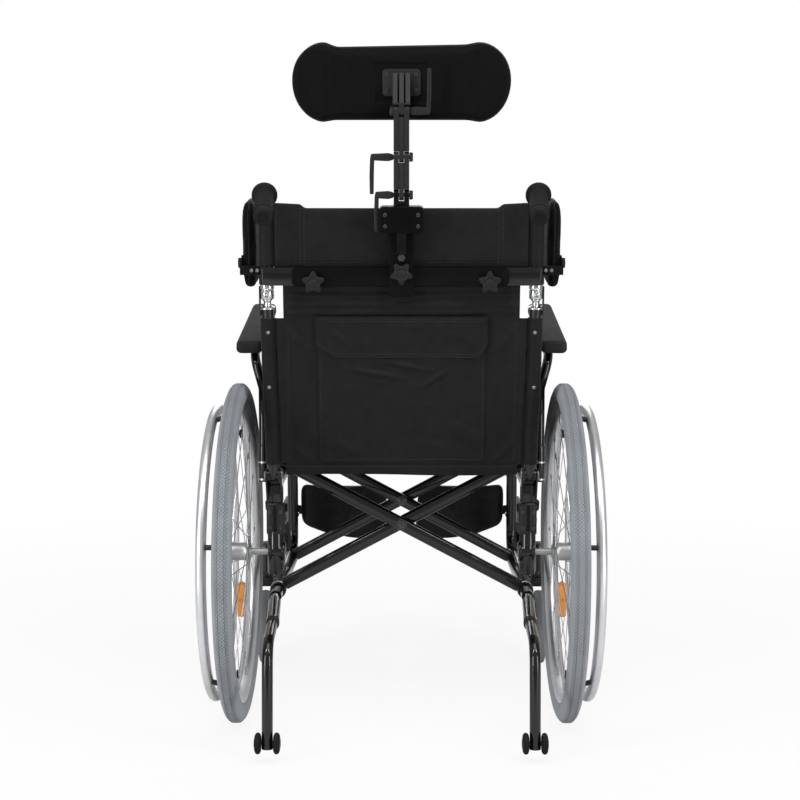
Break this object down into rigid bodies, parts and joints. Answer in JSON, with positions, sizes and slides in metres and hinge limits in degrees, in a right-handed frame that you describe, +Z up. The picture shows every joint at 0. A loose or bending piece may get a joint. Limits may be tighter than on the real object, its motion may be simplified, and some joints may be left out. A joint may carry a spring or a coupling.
{
  "type": "tilt in space wheelchair",
  "caption": "Attendant-pushed folding wheelchair with reclining half-folding back, headrest, trunk supports, elevating leg rests and anti-tippers.",
  "frame": {"origin": "on the floor under the middle of the overall box", "axes": "+Z up; +X to the sitter's left; -Y the way that the chair faces"},
  "size_m": [0.68, 1.044, 1.1985],
  "materials": {
    "black_frame": "gloss black",
    "chrome": "polished",
    "alloy": "satin anodised",
    "grey_tyre": "matt grey",
    "black_rubber": "matt",
    "black_plastic": "matt",
    "soft_pad": "soft moulded foam",
    "nylon": "woven"
  },
  "bodies": {
    "left_frame": {"side_frame_left": "black_frame"},
    "cross_a": {"cross_arm_a": "black_frame", "seat_sling": "nylon"},
    "cross_b": {"cross_arm_b": "black_frame"},
    "right_frame": {"side_frame_right": "black_frame"},
    "wheel_left": {"wheel_rim_left": "alloy", "tyre_left": "grey_tyre", "handrim_left": "alloy"},
    "caster_swivel_left": {"caster_fork_left": "black_plastic"},
    "caster_left": {"caster_wheel_left": "grey_tyre"},
    "anti_tip_leg_left": {"anti_tipper_left": "black_frame"},
    "anti_tip_roller_left": {"anti_tip_rollers_left": "black_rubber"},
    "armrest_left": {"armrest_frame_left": "black_frame", "armrest_pad_left": "soft_pad", "side_guard_left": "black_plastic"},
    "lock_left": {"wheel_lock_left": "black_frame"},
    "hanger_left": {"legrest_hanger_left": "black_frame"},
    "leg_left": {"leg_tube_left": "black_frame"},
    "calf_left": {"calf_pad_left": "soft_pad"},
    "foot_left": {"footplate_left": "black_plastic"},
    "lower_back_left": {"back_cane_left": "black_frame", "fold_knuckle_left": "chrome", "back_upholstery": "nylon"},
    "upper_back_left": {"handle_tube_left": "black_frame", "hand_grip_left": "black_rubber", "upper_back_panel": "nylon", "spreader_bar": "black_frame", "headrest_bracket": "black_frame"},
    "trunk_support_left": {"trunk_pad_left": "soft_pad"},
    "wheel_right": {"wheel_rim_right": "alloy", "tyre_right": "grey_tyre", "handrim_right": "alloy"},
    "caster_swivel_right": {"caster_fork_right": "black_plastic"},
    "caster_right": {"caster_wheel_right": "grey_tyre"},
    "anti_tip_leg_right": {"anti_tipper_right": "black_frame"},
    "anti_tip_roller_right": {"anti_tip_rollers_right": "black_rubber"},
    "armrest_right": {"armrest_frame_right": "black_frame", "armrest_pad_right": "soft_pad", "side_guard_right": "black_plastic"},
    "lock_right": {"wheel_lock_right": "black_frame"},
    "hanger_right": {"legrest_hanger_right": "black_frame"},
    "leg_right": {"leg_tube_right": "black_frame"},
    "calf_right": {"calf_pad_right": "soft_pad"},
    "foot_right": {"footplate_right": "black_plastic"},
    "lower_back_right": {"back_cane_right": "black_frame", "fold_knuckle_right": "chrome"},
    "upper_back_right": {"handle_tube_right": "black_frame", "hand_grip_right": "black_rubber"},
    "trunk_support_right": {"trunk_pad_right": "soft_pad"},
    "headrest_slide": {"headrest_post": "black_frame"},
    "headrest_lower": {"headrest_link_lower": "black_plastic"},
    "headrest_upper": {"headrest_link_upper": "black_plastic"},
    "headrest": {"head_plate": "black_plastic", "headrest_pad": "soft_pad"},
    "cam_low": {"cam_lever_low": "black_plastic"},
    "cam_mid": {"cam_lever_mid": "black_plastic"},
    "cam_top": {"cam_lever_top": "black_plastic"},
    "knob_left": {"star_knob_left": "black_rubber"},
    "knob_right": {"star_knob_right": "black_rubber"},
    "knob_middle": {"star_knob_middle": "black_rubber"}
  },
  "joints": [
    {"name": "fold", "type": "hinge", "parent": "left_frame", "child": "cross_a", "pos_m": [0.228, 0.21702, 0.225], "axis": [0, 1, 0], "range_deg": [0, 10], "deforming": ["seat_sling", "back_upholstery", "upper_back_panel"]},
    {"name": "cross_centre", "type": "hinge", "parent": "cross_a", "child": "cross_b", "pos_m": [0, 0.21702, 0.346], "axis": [0, 1, 0], "range_deg": [-20, 0]},
    {"name": "right_side_fold", "type": "hinge", "parent": "cross_b", "child": "right_frame", "pos_m": [-0.228, 0.21702, 0.225], "axis": [0, 1, 0], "range_deg": [0, 10]},
    {"name": "wheel_spin_left", "type": "hinge", "parent": "left_frame", "child": "wheel_left", "pos_m": [0.2935, 0.21702, 0.305], "axis": [1, 0, 0], "continuous": true},
    {"name": "caster_turn_left", "type": "hinge", "parent": "left_frame", "child": "caster_swivel_left", "pos_m": [0.283, -0.21298, 0.2], "axis": [0, 0, 1], "continuous": true},
    {"name": "caster_spin_left", "type": "hinge", "parent": "caster_swivel_left", "child": "caster_left", "pos_m": [0.283, -0.16798, 0.075], "axis": [1, 0, 0], "continuous": true},
    {"name": "anti_tip_reach_left", "type": "slide", "parent": "left_frame", "child": "anti_tip_leg_left", "axis": [0, 1, 0], "range_m": [0, 0.025]},
    {"name": "anti_tip_spin_left", "type": "hinge", "parent": "anti_tip_leg_left", "child": "anti_tip_roller_left", "pos_m": [0.222, 0.48902, 0.034], "axis": [1, 0, 0], "continuous": true},
    {"name": "armrest_lift_left", "type": "slide", "parent": "left_frame", "child": "armrest_left", "axis": [0, 0, 1], "range_m": [0, 0.08]},
    {"name": "wheel_lock_swing_left", "type": "hinge", "parent": "left_frame", "child": "lock_left", "pos_m": [0.265, -0.11899, 0.44], "axis": [1, 0, 0], "range_deg": [0, 30]},
    {"name": "leg_swing_left", "type": "hinge", "parent": "left_frame", "child": "hanger_left", "pos_m": [0.228, -0.23899, 0.342], "axis": [0, 0, 1], "range_deg": [0, 90]},
    {"name": "leg_elevate_left", "type": "hinge", "parent": "hanger_left", "child": "leg_left", "pos_m": [0.27, -0.27298, 0.438], "axis": [-1, 0, 0], "range_deg": [0, 60]},
    {"name": "calf_pad_swing_left", "type": "hinge", "parent": "leg_left", "child": "calf_left", "pos_m": [0.281, -0.27298, 0.438], "axis": [0, 0.4067, 0.9135], "range_deg": [0, 60]},
    {"name": "footplate_fold_left", "type": "hinge", "parent": "leg_left", "child": "foot_left", "pos_m": [0.262, -0.45299, 0.138], "axis": [0, -1, 0], "range_deg": [0, 90]},
    {"name": "recline_left", "type": "hinge", "parent": "left_frame", "child": "lower_back_left", "pos_m": [0.229, 0.24102, 0.448], "axis": [-1, 0, 0], "range_deg": [0, 30]},
    {"name": "half_fold_left", "type": "hinge", "parent": "lower_back_left", "child": "upper_back_left", "pos_m": [0.234, 0.30771, 0.7782], "axis": [-1, 0, 0], "range_deg": [0, 90]},
    {"name": "trunk_pad_tilt_left", "type": "hinge", "parent": "upper_back_left", "child": "trunk_support_left", "pos_m": [0.278, 0.26457, 0.82646], "axis": [1, 0, 0], "range_deg": [-15, 15]},
    {"name": "wheel_spin_right", "type": "hinge", "parent": "right_frame", "child": "wheel_right", "pos_m": [-0.2935, 0.21702, 0.305], "axis": [1, 0, 0], "continuous": true},
    {"name": "caster_turn_right", "type": "hinge", "parent": "right_frame", "child": "caster_swivel_right", "pos_m": [-0.283, -0.21298, 0.2], "axis": [0, 0, 1], "continuous": true},
    {"name": "caster_spin_right", "type": "hinge", "parent": "caster_swivel_right", "child": "caster_right", "pos_m": [-0.283, -0.16798, 0.075], "axis": [1, 0, 0], "continuous": true},
    {"name": "anti_tip_reach_right", "type": "slide", "parent": "right_frame", "child": "anti_tip_leg_right", "axis": [0, 1, 0], "range_m": [0, 0.025]},
    {"name": "anti_tip_spin_right", "type": "hinge", "parent": "anti_tip_leg_right", "child": "anti_tip_roller_right", "pos_m": [-0.222, 0.48902, 0.034], "axis": [1, 0, 0], "continuous": true},
    {"name": "armrest_lift_right", "type": "slide", "parent": "right_frame", "child": "armrest_right", "axis": [0, 0, 1], "range_m": [0, 0.08]},
    {"name": "wheel_lock_swing_right", "type": "hinge", "parent": "right_frame", "child": "lock_right", "pos_m": [-0.265, -0.11899, 0.44], "axis": [1, 0, 0], "range_deg": [0, 30]},
    {"name": "leg_swing_right", "type": "hinge", "parent": "right_frame", "child": "hanger_right", "pos_m": [-0.228, -0.23899, 0.342], "axis": [0, 0, -1], "range_deg": [0, 90]},
    {"name": "leg_elevate_right", "type": "hinge", "parent": "hanger_right", "child": "leg_right", "pos_m": [-0.27, -0.27298, 0.438], "axis": [-1, 0, 0], "range_deg": [0, 60]},
    {"name": "calf_pad_swing_right", "type": "hinge", "parent": "leg_right", "child": "calf_right", "pos_m": [-0.281, -0.27298, 0.438], "axis": [0, -0.4067, -0.9135], "range_deg": [0, 60]},
    {"name": "footplate_fold_right", "type": "hinge", "parent": "leg_right", "child": "foot_right", "pos_m": [-0.262, -0.45299, 0.138], "axis": [0, 1, 0], "range_deg": [0, 90]},
    {"name": "recline_right", "type": "hinge", "parent": "right_frame", "child": "lower_back_right", "pos_m": [-0.229, 0.24102, 0.448], "axis": [-1, 0, 0], "range_deg": [0, 30]},
    {"name": "half_fold_right", "type": "hinge", "parent": "lower_back_right", "child": "upper_back_right", "pos_m": [-0.234, 0.30771, 0.7782], "axis": [-1, 0, 0], "range_deg": [0, 90]},
    {"name": "trunk_pad_tilt_right", "type": "hinge", "parent": "upper_back_right", "child": "trunk_support_right", "pos_m": [-0.278, 0.26457, 0.82646], "axis": [1, 0, 0], "range_deg": [-15, 15]},
    {"name": "headrest_height", "type": "slide", "parent": "upper_back_left", "child": "headrest_slide", "axis": [0, 0.1409, 0.99], "range_m": [0, 0.06]},
    {"name": "headrest_reach", "type": "hinge", "parent": "headrest_slide", "child": "headrest_lower", "pos_m": [0, 0.35361, 0.94105], "axis": [1, 0, 0], "range_deg": [0, 30]},
    {"name": "headrest_bend", "type": "hinge", "parent": "headrest_lower", "child": "headrest_upper", "pos_m": [0, 0.36256, 1.00392], "axis": [1, 0, 0], "range_deg": [-30, 30]},
    {"name": "headrest_tilt", "type": "hinge", "parent": "headrest_upper", "child": "headrest", "pos_m": [0, 0.37334, 1.07966], "axis": [1, 0, 0], "range_deg": [-20, 30]},
    {"name": "cam_low_turn", "type": "hinge", "parent": "headrest_slide", "child": "cam_low", "pos_m": [0, 0.35361, 0.94105], "axis": [1, 0, 0], "range_deg": [0, 90]},
    {"name": "cam_mid_turn", "type": "hinge", "parent": "headrest_lower", "child": "cam_mid", "pos_m": [0, 0.36256, 1.00392], "axis": [1, 0, 0], "range_deg": [0, 90]},
    {"name": "cam_top_turn", "type": "hinge", "parent": "headrest_upper", "child": "cam_top", "pos_m": [0, 0.37334, 1.07966], "axis": [1, 0, 0], "range_deg": [-90, 0]},
    {"name": "knob_left_turn", "type": "hinge", "parent": "upper_back_left", "child": "knob_left", "pos_m": [0.152, 0.32038, 0.79276], "axis": [0, 0.99, -0.1409], "continuous": true},
    {"name": "knob_right_turn", "type": "hinge", "parent": "upper_back_right", "child": "knob_right", "pos_m": [-0.152, 0.32038, 0.79276], "axis": [0, 0.99, -0.1409], "continuous": true},
    {"name": "knob_middle_turn", "type": "hinge", "parent": "upper_back_left", "child": "knob_middle", "pos_m": [0, 0.32271, 0.80909], "axis": [0, 0.99, -0.1409], "continuous": true}
  ],
  "couplings": [
    {"joint": "cross_centre", "follows": "fold", "ratio": -2},
    {"joint": "right_side_fold", "follows": "fold", "ratio": 1},
    {"joint": "recline_right", "follows": "recline_left", "ratio": 1},
    {"joint": "half_fold_right", "follows": "half_fold_left", "ratio": 1}
  ]
}
